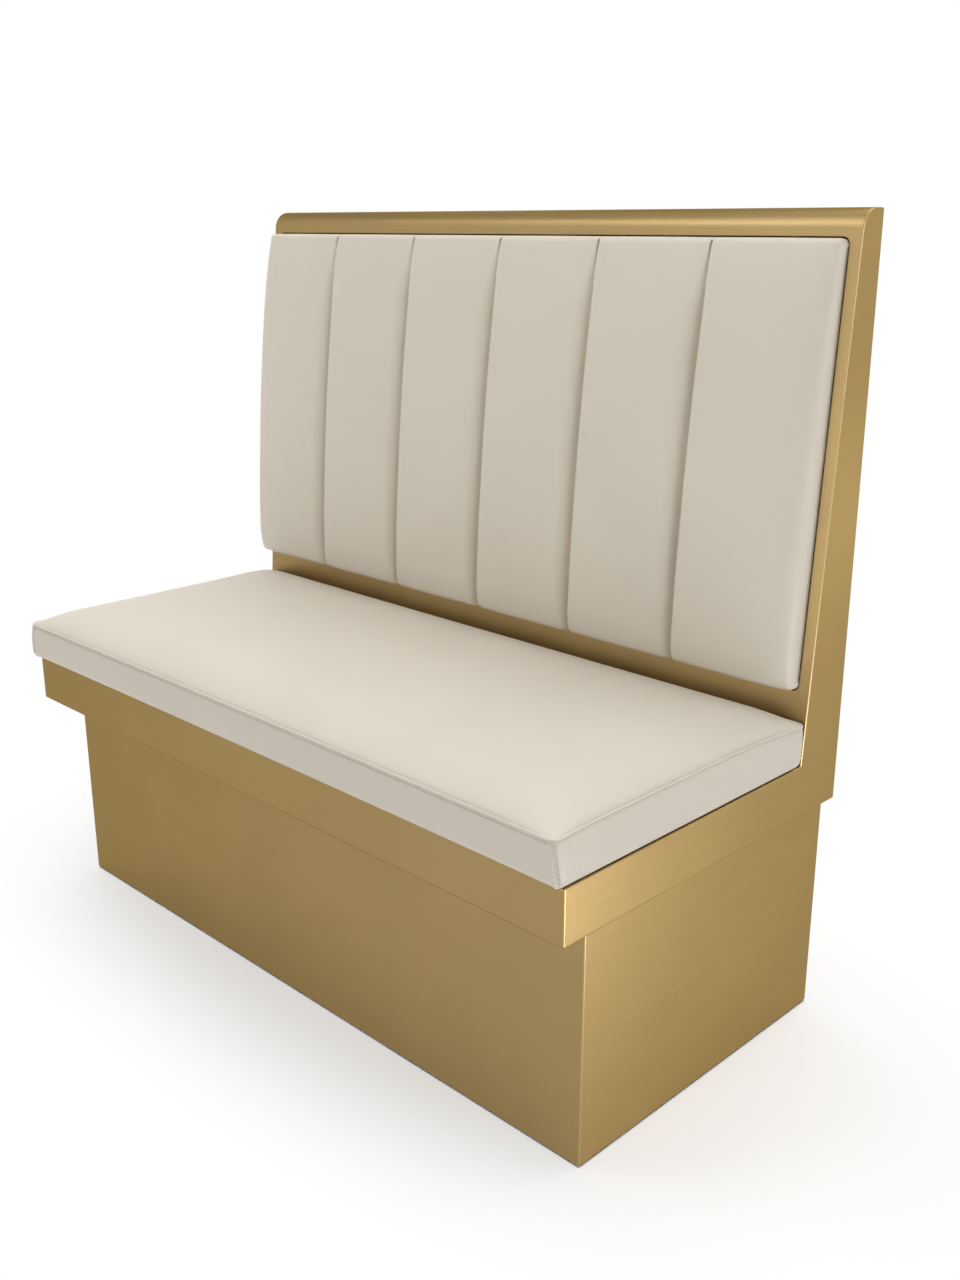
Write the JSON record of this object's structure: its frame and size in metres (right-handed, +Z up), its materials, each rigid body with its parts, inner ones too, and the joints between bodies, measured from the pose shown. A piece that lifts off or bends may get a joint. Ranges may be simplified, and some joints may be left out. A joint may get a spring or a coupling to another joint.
{
  "type": "restaurant booth seat",
  "caption": "Single-sided restaurant booth seat: brass-clad plinth and frame, raked back with an upright-channelled pad, and a loose box cushion.",
  "frame": {"origin": "on the floor, under the middle of the object's bounding box", "axes": "+X along the booth's length, to the sitter's left as they sit; +Y to the back; +Z up; the seat faces -Y"},
  "size_m": [1.124, 0.554, 1.067],
  "materials": {
    "brass_cladding": "satin brushed",
    "cream_leather": "matt, fine grain",
    "foam": "open cell",
    "dust_cloth": "matt",
    "black_rubber": "matt",
    "zinc_steel": "zinc plated",
    "pine": "sawn",
    "plywood": "sanded"
  },
  "bodies": {
    "frame": {"apron_front_sheet": "brass_cladding", "back_bottom_rail": "plywood", "back_brackets": "zinc_steel", "back_cross_rails": "plywood", "back_face_sheet": "brass_cladding", "back_left_middle_rib": "plywood", "back_left_rib": "plywood", "back_pad_battens": "pine", "back_pad_board": "plywood", "back_pad_cover": "cream_leather", "back_pad_foam": "foam", "back_pad_screws": "zinc_steel", "back_panel": "plywood", "back_right_middle_rib": "plywood", "back_right_rib": "plywood", "back_top_cap": "brass_cladding", "back_top_rail": "pine", "base_screws": "zinc_steel", "bracket_screws": "zinc_steel", "cushion_grip_strips": "black_rubber", "deck_screws": "zinc_steel", "foot_inserts": "zinc_steel", "left_side_panel": "brass_cladding", "plinth_corner_blocks": "pine", "plinth_front_board": "plywood", "plinth_front_sheet": "brass_cladding", "plinth_left_board": "plywood", "plinth_left_divider": "plywood", "plinth_left_sheet": "brass_cladding", "plinth_rear_board": "plywood", "plinth_rear_sheet": "brass_cladding", "plinth_right_board": "plywood", "plinth_right_divider": "plywood", "plinth_right_sheet": "brass_cladding", "rear_sheet": "brass_cladding", "right_side_panel": "brass_cladding", "seat_base_board": "plywood", "seat_deck": "plywood", "seat_deck_ledgers": "pine", "seat_front_rail": "plywood", "seat_left_cross_rail": "plywood", "seat_left_rail": "plywood", "seat_rear_rail": "plywood", "seat_right_cross_rail": "plywood", "seat_right_rail": "plywood"},
    "seat_cushion": {"seat_cushion_cover": "cream_leather", "seat_cushion_foam": "foam", "seat_cushion_board": "plywood", "seat_cushion_dust_cloth": "dust_cloth"},
    "foot_pad_front_left": {"foot_pad_front_left": "black_rubber"},
    "foot_stem_front_left": {"foot_stem_front_left": "zinc_steel"},
    "foot_pad_front_right": {"foot_pad_front_right": "black_rubber"},
    "foot_stem_front_right": {"foot_stem_front_right": "zinc_steel"},
    "foot_pad_rear_left": {"foot_pad_rear_left": "black_rubber"},
    "foot_stem_rear_left": {"foot_stem_rear_left": "zinc_steel"},
    "foot_pad_rear_right": {"foot_pad_rear_right": "black_rubber"},
    "foot_stem_rear_right": {"foot_stem_rear_right": "zinc_steel"}
  },
  "joints": [
    {"name": "seat_cushion_lift", "type": "slide", "parent": "frame", "child": "seat_cushion", "axis": [0, -0.5736, 0.8192], "range_m": [0, 0.16]},
    {"name": "foot_travel_front_left", "type": "slide", "parent": "frame", "child": "foot_pad_front_left", "axis": [0, 0, -1], "range_m": [0, 0.012]},
    {"name": "foot_turn_front_left", "type": "hinge", "parent": "foot_pad_front_left", "child": "foot_stem_front_left", "pos_m": [-0.498, -0.1725, 0.006], "axis": [0, 0, -1], "range_deg": [0, 2880.1]},
    {"name": "foot_travel_front_right", "type": "slide", "parent": "frame", "child": "foot_pad_front_right", "axis": [0, 0, -1], "range_m": [0, 0.012]},
    {"name": "foot_turn_front_right", "type": "hinge", "parent": "foot_pad_front_right", "child": "foot_stem_front_right", "pos_m": [0.498, -0.1725, 0.006], "axis": [0, 0, -1], "range_deg": [0, 2880.1]},
    {"name": "foot_travel_rear_left", "type": "slide", "parent": "frame", "child": "foot_pad_rear_left", "axis": [0, 0, -1], "range_m": [0, 0.012]},
    {"name": "foot_turn_rear_left", "type": "hinge", "parent": "foot_pad_rear_left", "child": "foot_stem_rear_left", "pos_m": [-0.498, 0.2355, 0.006], "axis": [0, 0, -1], "range_deg": [0, 2880.1]},
    {"name": "foot_travel_rear_right", "type": "slide", "parent": "frame", "child": "foot_pad_rear_right", "axis": [0, 0, -1], "range_m": [0, 0.012]},
    {"name": "foot_turn_rear_right", "type": "hinge", "parent": "foot_pad_rear_right", "child": "foot_stem_rear_right", "pos_m": [0.498, 0.2355, 0.006], "axis": [0, 0, -1], "range_deg": [0, 2880.1]}
  ],
  "couplings": [
    {"joint": "foot_turn_front_left", "follows": "foot_travel_front_left", "rad_per_m": 4188.8},
    {"joint": "foot_turn_front_right", "follows": "foot_travel_front_right", "rad_per_m": 4188.8},
    {"joint": "foot_turn_rear_left", "follows": "foot_travel_rear_left", "rad_per_m": 4188.8},
    {"joint": "foot_turn_rear_right", "follows": "foot_travel_rear_right", "rad_per_m": 4188.8}
  ]
}
